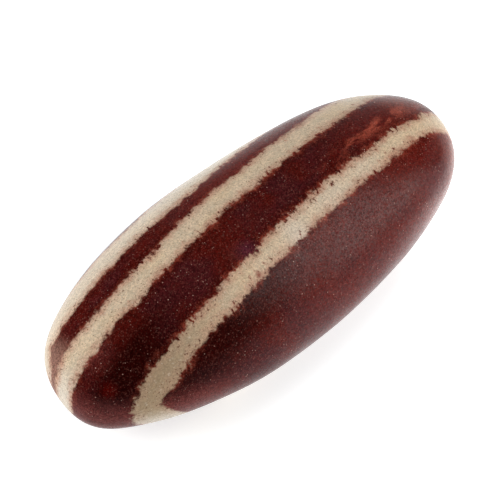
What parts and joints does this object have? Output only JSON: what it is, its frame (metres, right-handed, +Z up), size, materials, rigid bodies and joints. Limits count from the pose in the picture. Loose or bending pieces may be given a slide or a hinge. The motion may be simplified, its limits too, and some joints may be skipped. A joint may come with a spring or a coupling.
{
  "type": "river pebble",
  "caption": "Long, smooth egg-shaped river pebble with maroon and cream bands along it, worn to a satin finish. It lies on its side on a small worn flat.",
  "frame": {"origin": "under the middle of the stone, on the surface that it lies on", "axes": "+X along the stone towards its slimmer end, +Y across it, +Z up"},
  "size_m": [0.096, 0.0404, 0.0348],
  "materials": {
    "stone": "satin, maroon and cream bands in fine sandstone"
  },
  "bodies": {
    "root": {"pebble": "stone"}
  },
  "joints": []
}
